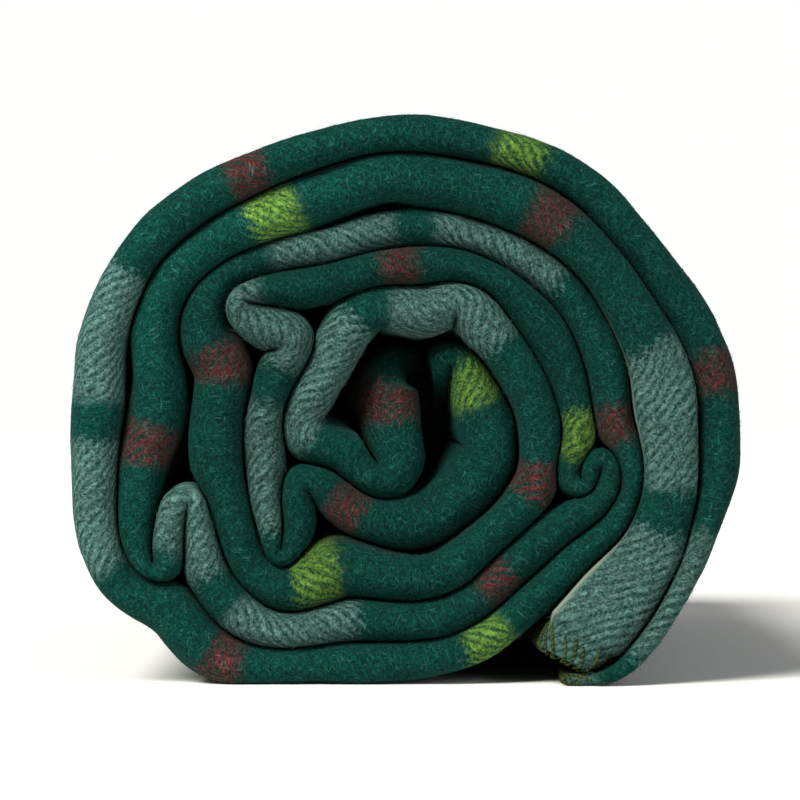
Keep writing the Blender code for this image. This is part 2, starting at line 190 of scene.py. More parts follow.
def evenly_spaced(curve, step):
    """The same curve with one sample every step along its length, and the lengths."""
    lengths = np.hypot(np.diff(curve[:, 0]), np.diff(curve[:, 1]))
    reached = np.concatenate([[0.0], np.cumsum(lengths)])
    marks = np.linspace(0.0, reached[-1], int(round(reached[-1] / step)) + 1)
    return np.stack([np.interp(marks, reached, column) for column in curve.T], axis=1), marks


def unit(vectors):
    """Each vector over its own length."""
    return vectors / np.linalg.norm(vectors, axis=-1, keepdims=True)


def held(value):
    """The value kept between nought and one."""
    return np.clip(value, 0.0, 1.0)


def soft_step(value):
    """Three times the square of the held value, less twice its cube."""
    return held(value) ** 2 * (3.0 - 2.0 * held(value))


fine_step = 0.5
route_points = np.concatenate([outer_strand_route, inner_strand_route])
route, along = evenly_spaced(smoothed(spline_through(route_points), 2.0 / 0.3), fine_step)
tangent = unit(np.gradient(route[:, :2], axis=0))
normal = np.stack([-tangent[:, 1], tangent[:, 0]], axis=1)

# %% [markdown]
# ## How thick the strand can be
#
# In a roll the turns press on each other until they meet halfway. That halfway line is found with
# circles: the circle that touches the strand's middle at one station and passes through any other
# station has the radius distance squared over twice the sideways offset. The smallest of them is
# the room on that side, and it also keeps the inside of a tight bend from folding through itself.
# Turns share the room in the ratio of their thicknesses.

# %% Room on both sides
def room_beside(curve, side):
    """Least of squared distance over sideways offset, times this turn's share of the thickness."""
    least = np.empty((len(curve), 2))
    for first in range(0, len(curve), 400):
        block = slice(first, first + 400)
        gap = curve[None, :, :2] - curve[block, None, :2]
        squared = (gap ** 2).sum(axis=2)
        offset = (gap * side[block, None, :]).sum(axis=2)
        share = curve[block, 2][:, None] / (curve[block, 2][:, None] + curve[None, :, 2])
        radius = squared / np.where(np.abs(offset) < 1e-6, 1e-6, offset) * share
        least[block, 0] = np.where(offset > 1e-6, radius, 1e6).min(axis=1)
        least[block, 1] = np.where(offset < -1e-6, -radius, 1e6).min(axis=1)
    return least


thinnest_half = 0.7
room = room_beside(route, normal)
most = room - 0.5 * strand_gap / millimetre
halves = np.maximum(np.minimum(0.5 * route[:, 2:3], most), thinnest_half)
halves = np.minimum(halves, smoothed(halves, 4.0))
print("half thickness", halves.min().round(2), "to", halves.max().round(2), "mm")

# %% [markdown]
# Only the front folds are held as tight as that. A few centimetres further in, the plies spring
# apart until they meet the next turn, so no gap runs right through the roll. The free outside has
# no neighbour, and stays as it is.

# %% Slack taken up behind the front fold, in millimetres
first_turn = 615.0
no_neighbour = 17.0
most_slack = 12.0
taken_at_front = 0.9
slack = np.where(room - halves > no_neighbour, 0.0, np.clip(most - halves, 0.0, most_slack))
slack[along < first_turn, 1] = 0.0
slack = np.clip(np.minimum(slack, smoothed(slack, 3.0)), 0.0, None)
halves = halves + np.minimum(slack, taken_at_front)
slack = slack - np.minimum(slack, taken_at_front)
print("slack up to", slack.max(axis=0).round(1), "mm on the two sides")

# %% [markdown]
# A hand-rolled blanket is never even, so the front fold also wanders by a millimetre or so. The
# wander is a sum of a few cosine waves with fixed phases, so it is the same on every run. The
# doubled middle of the blanket, where the rolling began, is drawn in much deeper at the front. The
# stitching squeezes the last centimetre before each cut, so the hem stands a step behind the fold.

# %% Setback of the front fold, with a little wander
def wander(where, longest, shortest, count, seed):
    """Sum of count cosines of where, wavelengths spread from longest to shortest, each with a
    height in proportion to its wavelength, scaled so that the whole sum stays within one."""
    phases = np.random.default_rng(seed).random(count) * 2.0 * math.pi
    lengths = np.geomspace(longest, shortest, count)
    heights = lengths / lengths.sum()
    waves = np.cos(2.0 * math.pi * np.asarray(where)[..., None] / lengths + phases)
    return (waves * heights).sum(axis=-1)


hem_width, hem_depth, hem_squeeze = 9.5, 2.6, 0.10
hidden_reach, hidden_depth = 30.0, 48.0
setback = np.interp(along / along[-1], *front_setback.T)
setback = smoothed(setback[:, None], 24.0)[:, 0]
setback = setback - 0.5 * (setback.max() + setback.min()) + 1.3 * wander(along, 95.0, 9.0, 11, 5)
faces_x = route[:, :1] + normal[:, :1] * halves * np.array([1.0, -1.0])
middle_x = 0.5 * (faces_x.max() + faces_x.min())
from_cut = np.minimum(along, along[-1] - along)
hem = soft_step((hem_width - from_cut) / 2.5)
setback = setback + hem_depth * hem
halves = halves * (1.0 - hem_squeeze * hem[:, None])
doubled = route_points[len(outer_strand_route) - 1, :2]
from_doubled = np.abs(along - along[np.argmin(np.hypot(*(route[:, :2] - doubled).T))])
drawn_in = hidden_depth * soft_step((hidden_reach - from_doubled) / 20.0)
centre = (route[:, :2] - np.array([middle_x, 0.0])) * millimetre
print("front plane", round(float(setback.min()), 1), "to", round(float(setback.max()), 1), "mm")

# %% [markdown]
# ## Where the loose end bends
#
# The joint's axis lies on the outside of the outer strand. The blanket is one sheet, but its loose
# end is made as two short pieces of cloth that begin at the station under that axis, apart from
# the rolled cloth.

# %% The two stations under the hinge
hinge = frame["joints"][0]
hinge_point = np.array([hinge["pos_m"][0], hinge["pos_m"][2]])
last = len(centre) - 1
half_way = last // 2
outer_cut = int(np.argmin(np.hypot(*(centre[:half_way] - hinge_point).T)))
last_turn = np.arange(int(0.85 * last), last)
ahead = (centre[last_turn] - centre[outer_cut]) @ tangent[outer_cut]
beside = np.hypot(*(centre[last_turn] - centre[outer_cut]).T)
inner_cut = int(last_turn[np.argmin(np.abs(ahead) + 0.2 * beside)])
print("cuts at", along[outer_cut], "and", along[inner_cut], "mm")

# %% [markdown]
# ## Stations and the fold's outline
#
# Stations stand closer together where the strand bends and next to the cuts. At each one the
# sheet is followed across its whole width: from one selvedge at the back, forward to the front
# fold, back to the fold at the back, forward to the inner front fold, and back to the other
# selvedge. So one row of the grid is the real folded width of the cloth, and one column runs the
# length of the blanket.

# %% Stations along the strand
turn_per_station = 0.13
station_pitch = 6.2
fine_near_cut = 14.0
turning = np.abs(np.gradient(np.unwrap(np.arctan2(tangent[:, 1], tangent[:, 0]))))
near_cut = held((fine_near_cut - from_cut) / 2.0)
per_millimetre = 1.0 / station_pitch + 0.95 * near_cut
measure = np.cumsum(turning / turn_per_station + np.gradient(along) * per_millimetre)


def stations_between(first, final):
    """Even steps of the measure of turning and length, given back as fractional station numbers."""
    count = int(math.ceil(measure[final] - measure[first]))
    wanted = np.linspace(measure[first], measure[final], count + 1)
    places = np.interp(wanted, measure, np.arange(len(measure)))
    places[0], places[-1] = first, final
    return places


stretches = [stations_between(0, outer_cut), stations_between(outer_cut, inner_cut),
             stations_between(inner_cut, last)]
stations = np.concatenate([stretches[0], stretches[1][1:], stretches[2][1:]])
print(len(stations), "stations")


def at_stations(values):
    """The values read at the fractional stations."""
    numbers = np.arange(len(values))
    if values.ndim == 1:
        return np.interp(stations, numbers, values)
    return np.stack([np.interp(stations, numbers, column) for column in values.T], axis=1)


# %% [markdown]
# The outline of the folded width is drawn in two directions: across the strand and along the roll.
# Flat plies are straight lines, and each fold is half an ellipse. The last 15 cm of the inner
# strand is pressed flatter by the hand that laid it down.

# %% The folded width
run_points, fold_points = 9, 16
apex = run_points + fold_points // 2
ply_share = 0.95
nose_depth_share = 1.55


def folded_width(left, right, front, back, reach_a, reach_b, flat):
    """Middle line of the cloth across its width, as arrays of across and along the roll.

    With half the strand's thickness called half, the four plies lie at plus and minus 0.75 and
    0.25 of half. A straight ply runs between its folds, and a fold of radius r is the half
    ellipse of across r cosine and depth r sine of an angle from nought to pi. Where the front
    fold is flat, it is less deep, and its cosine and sine are raised to a power below one.
    """
    half = 0.5 * (left + right)[:, None]
    middle = 0.5 * (left - right)[:, None]
    front = front[:, None]
    back = back[:, None]
    ply = ply_share * 0.5 * half
    flat = flat[:, None]
    nose = (nose_depth_share - 0.70 * flat) * half
    front_turn, small_turn, run, short_run = (
        np.arange(count)[None, :] / count * whole
        for count, whole in ((fold_points, math.pi), (6, math.pi), (run_points, 1.0), (3, 1.0)))
    swing = np.cos(front_turn)
    fold_base = back - 0.5 * ply - 0.25 * half
    inner_front = front + 1.55 * ply
    inner_base = inner_front + 0.25 * half
    across = [
        0.75 * half + 0.0 * run,
        0.75 * half * np.sign(swing) * np.abs(swing) ** (1.0 - 0.25 * flat),
        -0.75 * half + 0.0 * run,
        -0.50 * half - 0.25 * half * np.cos(small_turn),
        -0.25 * half + 0.0 * short_run,
        -0.25 * half * np.cos(small_turn),
        0.25 * half + 0.0 * short_run,
        0.25 * half,
    ]
    edge_a = back - reach_a[:, None]
    edge_b = back - reach_b[:, None]
    depth = [
        edge_a + (front + nose - edge_a) * run,
        front + nose - (nose - 0.5 * ply) * np.sin(front_turn) ** (1.0 - 0.35 * flat),
        front + nose + (fold_base - front - nose) * run,
        fold_base + 0.25 * half * np.sin(small_turn),
        fold_base + (inner_base - fold_base) * short_run,
        inner_base - 0.25 * half * np.sin(small_turn),
        inner_base + (edge_b - inner_base) * short_run,
        edge_b,
    ]
    return middle + np.concatenate(across, axis=1), np.concatenate(depth, axis=1), ply


left, right = at_stations(halves * millimetre).T
back = at_stations(setback * millimetre) + 0.5 * roll_length
front = back - roll_length + at_stations(drawn_in * millimetre)
station_along = at_stations(along)
reach_a = 0.0035 + 0.0016 * wander(station_along, 260.0, 25.0, 7, 11)
reach_b = 0.0060 + 0.0016 * wander(station_along, 230.0, 25.0, 7, 12)
flap_length = 150.0
flap = held((flap_length - (along[-1] - station_along)) / 50.0)
across, depth, ply = folded_width(left, right, front, back, reach_a, reach_b, flap)

held_at_front, loosening = 0.007, 0.034
loosened = soft_step((depth - front[:, None] - held_at_front) / loosening)
slack_left, slack_right = at_stations(slack * millimetre).T[:, :, None]
side_share = (across - 0.5 * (left - right)[:, None]) / (0.375 * (left + right)[:, None])
across = across + loosened * slack_left * held(side_share)
across = across + loosened * slack_right * np.clip(side_share, -1.0, 0.0)
steps = np.hypot(np.diff(across, axis=1), np.diff(depth, axis=1))
width_along = np.concatenate([np.zeros((len(stations), 1)), np.cumsum(steps, axis=1)], axis=1)
width_along += 0.25 * sheet_width - width_along[:, apex:apex + 1]
print("folded width", width_along[:, -1].mean().round(3), "m,", across.shape[1], "points")

# %% [markdown]
# ## Stripes that keep their repeat
#
# The plaid repeats every 344 mm. Rolled cloth is pulled here and bunched there, so the length that
# a stretch of cloth takes up along the route varies by a few per cent. The list pairs places on the
# route with places in the repeat.

# %% Length of cloth at each station
stripe_places = table("""
    0 -14, 112 90, 203 172, 285 254, 378 344, 464 434, 543 516, 625 598, 718 688, 804 778, 891 860,
    968 942, 1057 1032, 1152 1122, 1228 1204, 1303 1286, 1391 1376, 1473 1466, 1559 1548,
    1637 1630, 1726 1720, 1818 1810, 1904 1892, 1989 1974, 2087 2064, 2137 2108
""")
cloth_length = np.interp(along, *stripe_places.T)
cloth_length = smoothed(cloth_length[:, None], 30.0)[:, 0] * millimetre
length_along = at_stations(cloth_length)
print("cloth used", round(float(length_along[-1] - length_along[0]), 3), "m")

# %% [markdown]
# ## Two faces of the cloth
#
# The outer face lies half a ply outside the middle line, and the inner face half a ply inside. The
# outer face also gets a faint unevenness, stronger on the free fold than between pressed turns.
# The last list holds the long soft waves of the rim: wavelength along the roll in metres, waves
# round the roll, height in metres and phase.

# %% Outer and inner faces
def unevenness(first, second, seed):
    """Sum of 14 plane waves over the cloth's length and width, within plus and minus one. Each
    has a chance heading and phase, and a height in proportion to its length to the power 0.6."""
    source = np.random.default_rng(seed)
    total = np.zeros_like(first)
    lengths = np.geomspace(0.045, 0.006, 14)
    for length in lengths:
        heading = source.random() * math.pi
        phase = source.random() * 2.0 * math.pi
        place = (first * math.cos(heading) + second * math.sin(heading)) / length
        total += np.cos(2.0 * math.pi * place + phase) * length ** 0.6
    return total / (lengths ** 0.6).sum()


across_step = np.gradient(across, axis=1)
depth_step = np.gradient(depth, axis=1)
size = np.hypot(across_step, depth_step)
out_across, out_depth = -depth_step / size, across_step / size

length_grid = np.broadcast_to(length_along[:, None], across.shape)
free = np.zeros(across.shape[1])
free[run_points:run_points + fold_points + 1] = np.sin(np.linspace(0.0, math.pi, fold_points + 1))
column = np.arange(across.shape[1])
outside = (column >= apex) & (column <= 2 * run_points + fold_points + 1)
open_side = held((free_outside - length_grid) / 0.03) * outside
height = 0.00010 + 0.00160 * free[None, :] + 0.00045 * open_side * (1.0 - free[None, :])
bump = unevenness(length_grid, width_along, 3) * height
soft_waves = [(0.236, 1, 0.0009, 0.4), (0.161, -2, 0.0007, 2.1), (0.118, 3, 0.0006, 4.0),
              (0.087, -1, 0.0005, 1.2), (0.066, 2, 0.0004, 5.3)]


core_x, core_z, core_reach, core_bow = 0.007, 0.080, 0.078, 0.008
roll_middle, rim_radius = 0.084, 0.095


def in_space(across_place, depth_place):
    """Across and depth at each station turned into points of the room, never below the floor.

    The core bows sideways by up to 8 mm halfway along the roll: a half sine of the depth, times
    one less the squared share of the distance from the core, which is nought near the rim. The
    rim swells and sinks by a millimetre or two, as a sum of waves along the roll and whole turns
    round it. Both fade out at the front fold and on the floor.
    """
    spot = at_stations(centre)
    way = unit(at_stations(normal))
    x = spot[:, :1] + way[:, :1] * across_place
    z = spot[:, 1:] + way[:, 1:] * across_place
    share = held(0.5 + depth_place / roll_length)
    reach = 1.0 - ((x - core_x) ** 2 + (z - core_z) ** 2) / core_reach ** 2
    bow = core_bow * held(reach) ** 1.5 * np.sin(math.pi * share)
    x = x - 0.8 * bow
    z = z + 0.6 * bow
    round_roll = np.arctan2(z - roll_middle, x)
    out = (x ** 2 + (z - roll_middle) ** 2) / rim_radius ** 2
    lift = 0.0
    for wave_length, turns_round, height, phase in soft_waves:
        turns = 2.0 * math.pi * depth_place / wave_length + turns_round * round_roll + phase
        lift = lift + height * np.cos(turns)
    lift = lift * out * held(3.0 * share) ** 2 * held(z / 0.040) ** 2
    x = x + lift * np.cos(round_roll)
    z = z + lift * np.sin(round_roll)
    return np.stack([x, depth_place, np.maximum(z, cloth_above_floor)], axis=2)


lifted = 0.5 * ply + bump
outer_face = in_space(across + out_across * lifted, depth + out_depth * lifted)
inner_face = in_space(across - out_across * 0.5 * ply, depth - out_depth * 0.5 * ply)
print("outer face", outer_face.shape)

# %% [markdown]
# ## From grids to meshes
#
# A grid of points becomes a closed sheet: the two faces, a strip along each selvedge and a cap over
# each cut. All the corners are worked out as whole arrays. The shell's volume tells whether its
# faces point outwards, and they are turned round if they don't.

# %% A closed sheet from two grids
def quads(rows, columns, offset, flip):
    """Corner numbers of the squares of a grid whose points are numbered row by row."""
    start = np.arange(rows - 1)[:, None] * columns + np.arange(columns - 1)[None, :]
    start = offset + start.ravel()
    corners = np.stack([start, start + 1, start + columns + 1, start + columns], axis=1)
    return corners[:, ::-1] if flip else corners


def strip(first, second):
    """Squares between two rows of point numbers."""
    return np.stack([first[:-1], first[1:], second[1:], second[:-1]], axis=1)


def placed(name, data):
    """A new object with its data, in the scene."""
    thing = bpy.data.objects.new(name, data)
    bpy.context.scene.collection.objects.link(thing)
    return thing


def make_mesh(name, points, groups, maps):
    """Fills a mesh from points and groups of faces with equal corner counts, and UV maps by point.

    The volume is the sum, over the fan of triangles of every face, of the first corner dotted
    with the cross product of the other two. A negative sum means that the shell is inside out.
    """
    volume = 0.0
    for corners in groups:
        first = points[corners[:, 0]]
        for second in range(1, corners.shape[1] - 1):
            across_pair = np.cross(points[corners[:, second]], points[corners[:, second + 1]])
            volume += (first * across_pair).sum()
    if volume < 0.0:
        groups = [corners[:, ::-1] for corners in groups]
    loops = np.concatenate([corners.ravel() for corners in groups])
    sizes = np.concatenate([np.full(len(corners), corners.shape[1]) for corners in groups])
    mesh = bpy.data.meshes.new(name)
    mesh.vertices.add(len(points))
    mesh.vertices.foreach_set("co", points.astype(np.float32).ravel())
    mesh.loops.add(len(loops))
    mesh.loops.foreach_set("vertex_index", loops.astype(np.int32))
    mesh.polygons.add(len(sizes))
    mesh.polygons.foreach_set("loop_start", (np.cumsum(sizes) - sizes).astype(np.int32))
    mesh.update(calc_edges=True)
    mesh.polygons.foreach_set("use_smooth", np.ones(len(sizes), dtype=bool))
    for label, values in maps.items():
        layer = mesh.uv_layers.new(name=label)
        layer.data.foreach_set("uv", values[loops].astype(np.float32).ravel())
    mesh.validate()
    print(name, int((sizes - 2).sum()), "triangles")
    return placed(name, mesh)


def cloth_piece(name, rows):
    """The closed sheet over a stretch of stations."""
    outer = outer_face[rows]
    inner = inner_face[rows]
    count, columns = outer.shape[:2]
    total = count * columns
    numbers = np.arange(2 * total).reshape(2, count, columns)
    corners = np.concatenate([
        quads(count, columns, 0, False),
        quads(count, columns, total, True),
        strip(numbers[0, :, 0], numbers[1, :, 0])[:, ::-1],
        strip(numbers[0, :, -1], numbers[1, :, -1]),
        strip(numbers[0, 0, :], numbers[1, 0, :]),
        strip(numbers[0, -1, :], numbers[1, -1, :])[:, ::-1],
    ])
    points = np.concatenate([outer.reshape(-1, 3), inner.reshape(-1, 3)])
    place = np.stack([length_grid[rows], width_along[rows]], axis=2).reshape(-1, 2)
    piece = make_mesh(name, points, [corners], {"cloth": np.concatenate([place, place])})
    piece.data.set_sharp_from_angle(angle=math.radians(60))
    return piece


first_cut = len(stretches[0]) - 1
second_cut = first_cut + len(stretches[1]) - 1
rolled_cloth = cloth_piece("rolled_cloth", slice(first_cut, second_cut + 1))
outer_cloth = cloth_piece("outer_cloth_end", slice(0, first_cut + 1))
inner_cloth = cloth_piece("inner_cloth_end", slice(second_cut, len(stations)))

# %% [markdown]
# ## Whip stitching
#
# A cut end would ravel, so a thick olive yarn is whipped over it: in through the cloth a few
# millimetres from the edge, over the edge, and in again one step further on. Each stitch here is a
# short flattened tube that lies on the outer face, turns over the edge and comes back underneath.
# The yarn's path is laid out on the cloth's own grid, so it follows every fold.

# %% Whip stitches over a cut end
def on_grid(face, row, column):
    """Points of a face at fractional rows and columns: the four nearest, blended in proportion."""
    low_row = np.clip(np.floor(row).astype(int), 0, face.shape[0] - 2)
    low_column = np.clip(np.floor(column).astype(int), 0, face.shape[1] - 2)
    down = (row - low_row)[..., None]
    over = (column - low_column)[..., None]
    near = face[low_row, low_column] * (1 - over) + face[low_row, low_column + 1] * over
    far = face[low_row + 1, low_column] * (1 - over) + face[low_row + 1, low_column + 1] * over
    return near * (1 - down) + far * down


def whip_stitches(name, rows, seed):
    """Tubes of yarn over the cut end that rows starts from.

    Along each stitch the yarn leaves the outer face one bight in from the cut, lies on that face
    with a slant of a pitch and a half, swings round the edge and comes back on the inner face.
    """
    near_rows = 14
    outer, inner = (face[rows][:near_rows] for face in (outer_face, inner_face))
    distance = np.concatenate([[0.0], np.cumsum(np.linalg.norm(
        np.diff(0.5 * (outer + inner)[:, apex], axis=0), axis=1))])
    widths = width_along[rows][0]
    source = np.random.default_rng(seed)
    count = int((widths[-1] - widths[0]) / stitch_pitch) - 1
    start = 0.7 + np.arange(count) + 0.14 * source.standard_normal(count)
    start = widths[0] + stitch_pitch * start
    bight = stitch_bight * (1.0 + 0.10 * source.standard_normal(count))
    share = np.array([1.08, 0.95, 0.48, 0.04, -0.14, 0.04, 0.48, 0.95, 1.08])
    lift = np.array([-1.2, 0.7, 1.05, 1.1, 0.9, 1.1, 1.05, 0.7, -1.2])
    side = np.array([1.0, 1.0, 1.0, 0.92, 0.0, -0.92, -1.0, -1.0, -1.0])
    slant = np.array([1.50, 1.35, 0.70, 0.05, 0.00, 0.10, 0.30, 0.55, 0.60])
    inward = bight[:, None] * share[None, :]
    where = start[:, None] + stitch_pitch * slant[None, :]
    row = np.interp(np.maximum(inward, 0.0), distance, np.arange(len(distance)))
    column = np.interp(where, widths, np.arange(len(widths)))
    top = on_grid(outer, row, column)
    under = on_grid(inner, row, column)
    middle = 0.5 * (top + under)
    outward = top - under
    thickness = np.linalg.norm(outward, axis=2, keepdims=True)
    outward = outward / thickness
    edge_way = unit(outer[0, apex] - outer[3, apex])
    radius = 0.5 * yarn_thickness
    height = 0.5 * thickness + radius * 0.8 * lift[None, :, None]
    line = middle + outward * side[None, :, None] * height
    line = line + edge_way * np.maximum(-inward, 0.0)[..., None] * 1.2
    return yarn_tubes(name, line, radius, source)


def ring_round(first, second, sides):
    """Points round a circle: the first direction times cosine plus the second times sine."""
    angle = (np.arange(sides) / sides * 2.0 * math.pi)[:, None]
    return first[..., None, :] * np.cos(angle) + second[..., None, :] * np.sin(angle)


def yarn_tubes(name, line, radius, source, sides=6):
    """A tube round each line of points, narrowed and closed at both ends."""
    count, steps_in = line.shape[:2]
    way = unit(np.gradient(line, axis=1))
    first = unit(np.cross(way, np.array([0.0, 1.0, 0.0])))
    second = np.cross(way, first)
    swell = np.ones(steps_in)
    swell[[0, -1]] = 0.35
    girth = 1.0 + 0.08 * source.standard_normal((count, 1, 1, 1))
    girth = radius * swell[None, :, None, None] * girth
    points = line[:, :, None, :] + ring_round(first, second, sides) * girth
    points[..., 2] = np.maximum(points[..., 2], yarn_above_floor)
    per = steps_in * sides
    rings = np.arange(steps_in - 1)[:, None] * sides
    base = rings + np.arange(sides)[None, :]
    beside = rings + (np.arange(sides) + 1)[None, :] % sides
    one = np.stack([base, beside, beside + sides, base + sides], axis=2).reshape(-1, 4)
    caps = np.array([[0, 1, 2, 3], [0, 3, 4, 5]])
    caps = np.concatenate([caps[:, ::-1], caps + per - sides])
    one = np.concatenate([one, caps])
    corners = (one[None] + (np.arange(count) * per)[:, None, None]).reshape(-1, 4)
    run = np.cumsum(np.linalg.norm(np.diff(line, axis=1, prepend=line[:, :1]), axis=2), axis=1)
    u = np.broadcast_to(run[:, :, None], (count, steps_in, sides))
    u = u + np.arange(count)[:, None, None] * 0.013
    v = np.broadcast_to(np.abs(np.arange(sides) / sides - 0.5)[None, None, :], u.shape)
    maps = {"yarn": np.stack([u, v], axis=3).reshape(-1, 2)}
    print(count, "stitches")
    return make_mesh(name, points.reshape(-1, 3), [corners], maps)


outer_stitches = whip_stitches("outer_hem_yarn", slice(0, first_cut + 1), 21)
inner_stitches = whip_stitches("inner_hem_yarn", slice(len(stations) - 1, second_cut, -1), 22)

# %% [markdown]
# ## Stray hairs
#
# Fulled wool never has a clean outline. Thousands of hairs stand a little off the front fold and
# off the outside of the roll. Each is a thin three-sided spindle, pointed at both ends, that starts
# just under the cloth's face, runs along it in a chance direction and leans off it. They are sown
# on the cloth's own grid, and carry the place in the plaid where they grow, so that they have its
# colour.

# %% Hairs sown on the cloth
def stray_hairs(name, rows, count, seed):
    """Spindles of wool. A hair's point at share s of its length is root plus heading times s, plus
    the outward direction times lean times s squared, and its girth is full at a third and two
    thirds. Places across the width fall on a bell curve round the front fold, or, for one in
    four, anywhere on the outside."""
    outer = outer_face[rows]
    source = np.random.default_rng(seed)
    lengths = length_along[rows]
    numbers = np.arange(len(lengths))
    row = np.interp(source.uniform(lengths[0], lengths[-1], count), lengths, numbers)
    width = 0.25 * sheet_width + 0.001 + 0.0085 * source.standard_normal(count)
    in_first_turn = lengths[np.minimum(row.astype(int), len(lengths) - 1)] < free_outside
    outside = (source.random(count) < 0.25) & in_first_turn
    anywhere = source.uniform(0.25 * sheet_width, 0.49 * sheet_width, count)
    width = np.where(outside, anywhere, width)
    widths = width_along[rows].mean(axis=0)
    column = np.interp(width, widths, np.arange(len(widths)))
    low_row = np.clip(np.floor(row).astype(int), 0, len(outer) - 2)
    low = np.clip(np.floor(column).astype(int), 0, len(widths) - 2)
    root = on_grid(outer, row, column)
    outward = unit(root - on_grid(inner_face[rows], row, column))
    along_row = outer[low_row + 1, low] - outer[low_row, low]
    along_row = unit(along_row - outward * (along_row * outward).sum(axis=1)[:, None])
    beside_row = np.cross(outward, along_row)
    turn = source.uniform(0.0, 2.0 * math.pi, (count, 1))
    heading = along_row * np.cos(turn) + beside_row * np.sin(turn)
    curl = beside_row * np.cos(turn) - along_row * np.sin(turn)
    long = hair_length * np.exp(0.38 * source.standard_normal((count, 1)))
    lean = long * source.uniform(0.02, 0.42, (count, 1))
    bend = long * 0.35 * source.standard_normal((count, 1))
    shares = np.array([0.0, 0.33, 0.70, 1.0])[None, :, None]
    line = root[:, None] - 2.0 * hair_radius * outward[:, None] + (heading * long)[:, None] * shares
    line = line + (outward * lean)[:, None] * shares ** 1.5 + (curl * bend)[:, None] * shares ** 2
    ring = ring_round(outward, curl, 3)
    girth = hair_radius * np.exp(0.25 * source.standard_normal((count, 1, 1)))
    thick, thin = line[:, 1:2] + ring * girth, line[:, 2:3] + ring * girth * 0.8
    points = np.concatenate([line[:, :1], thick, thin, line[:, 3:]], axis=1)
    points[..., 2] = np.maximum(points[..., 2], yarn_above_floor)
    first = (np.arange(count) * 8)[:, None, None]
    tips = np.array([[0, 2, 1], [0, 3, 2], [0, 1, 3], [7, 4, 5], [7, 5, 6], [7, 6, 4]])
    walls = np.array([[1, 2, 5, 4], [2, 3, 6, 5], [3, 1, 4, 6]])
    groups = [(tips[None] + first).reshape(-1, 3), (walls[None] + first).reshape(-1, 4)]
    grown = np.stack([np.interp(row, numbers, lengths), width], axis=1)
    maps = {"cloth": np.repeat(grown, 8, axis=0)}
    return make_mesh(name, points.reshape(-1, 3), groups, maps)


rolled_hairs = stray_hairs("rolled_cloth_hairs", slice(first_cut, second_cut + 1), 15500, 31)
outer_hairs = stray_hairs("outer_end_hairs", slice(0, first_cut + 1), 2600, 32)
inner_hairs = stray_hairs("inner_end_hairs", slice(second_cut, len(stations)), 1500, 33)

# %% [markdown]
# ## Colours and nodes
#
# Dye colours are easiest to compare as the hex codes of a screen, but light adds up linearly, so
# one function turns the codes into linear numbers. A second small helper adds a node, sets its
# properties and plugs in its inputs, which keeps each material short enough to read. The rest are
# what several materials share: an empty start, a wave, a sum of noises, layers of colour and the
# ending with the shader. The settings that come up again and again have a name each.

# %% Colour codes, one way to add a node, and layers of colour
def dye(code):
    """A hex code's channels, each raised from the screen's curve to linear light."""
    values = np.array([int(code[place:place + 2], 16) for place in (1, 3, 5)]) / 255.0
    linear = np.where(values <= 0.04045, values / 12.92, ((values + 0.055) / 1.055) ** 2.4)
    return (*linear, 1.0)


def add(tree, kind, values=(), out=0, **settings):
    """One output of a new node with its settings, whose inputs, in order or by name, are given
    values or other nodes' outputs."""
    node = tree.nodes.new("ShaderNode" + kind)
    for name, value in settings.items():
        setattr(node, name, value)
    for name, value in values.items() if isinstance(values, dict) else enumerate(values):
        if isinstance(value, bpy.types.NodeSocket):
            tree.links.new(value, node.inputs[name])
        else:
            node.inputs[name].default_value = value
    return node.outputs[out] if len(node.outputs) else None


to_millimetres = (1000.0, 1000.0, 1000.0)
smooth = {"interpolation_type": "SMOOTHSTEP"}
plus, minus, times, over, times_plus, unsigned, sine, largest, smallest, mirrored = (
    {"operation": word} for word in ("ADD", "SUBTRACT", "MULTIPLY", "DIVIDE", "MULTIPLY_ADD",
                                     "ABSOLUTE", "SINE", "MAXIMUM", "MINIMUM", "PINGPONG"))


def new_material(name):
    """A material with an empty tree, and the tree."""
    material = bpy.data.materials.new(name)
    material.use_nodes = True
    material.node_tree.nodes.clear()
    return material, material.node_tree


def finish_material(material, pieces, surface, height=None, distance=0.001, strength=1.0):
    """Shader and output with these surface values, a bump where there is a height, and the
    material put on the pieces."""
    tree = material.node_tree
    if height is not None:
        surface["Normal"] = add(tree, "Bump", {"Height": height, "Distance": distance,
                                               "Strength": strength})
    add(tree, "OutputMaterial", (add(tree, "BsdfPrincipled", surface),))
    for piece in pieces:
        piece.data.materials.append(material)
    print(material.name, len(tree.nodes), "nodes")


def layered(tree, colour, layers):
    """The colour with each layer in turn mixed over it, or multiplied in, by the layer's share."""
    for share, layer, blend in layers:
        colour = add(tree, "Mix", {0: share, 6: colour, 7: layer}, out=2, data_type="RGBA",
                     blend_type=blend)
    return colour


def from_place(tree, value, place):
    """How far the value is from a place, either way."""
    return add(tree, "Math", (add(tree, "Math", (value, place), **minus),), **unsigned)


def wave_of(tree, turns):
    """Sine wave of this many whole turns."""
    return add(tree, "Math", (add(tree, "Math", (turns, 2.0 * math.pi), **times),), **sine)


def shifted(tree, start, parts):
    """The start plus, for each noise and reach, the reach times the noise less a half."""
    for noise, reach in parts:
        centred = add(tree, "Math", (noise, reach, -0.5 * reach), **times_plus)
        start = add(tree, "Math", (start, centred), **plus)
    return start


print("the green weft in linear light", [round(float(value), 3) for value in dye("#03312A")])
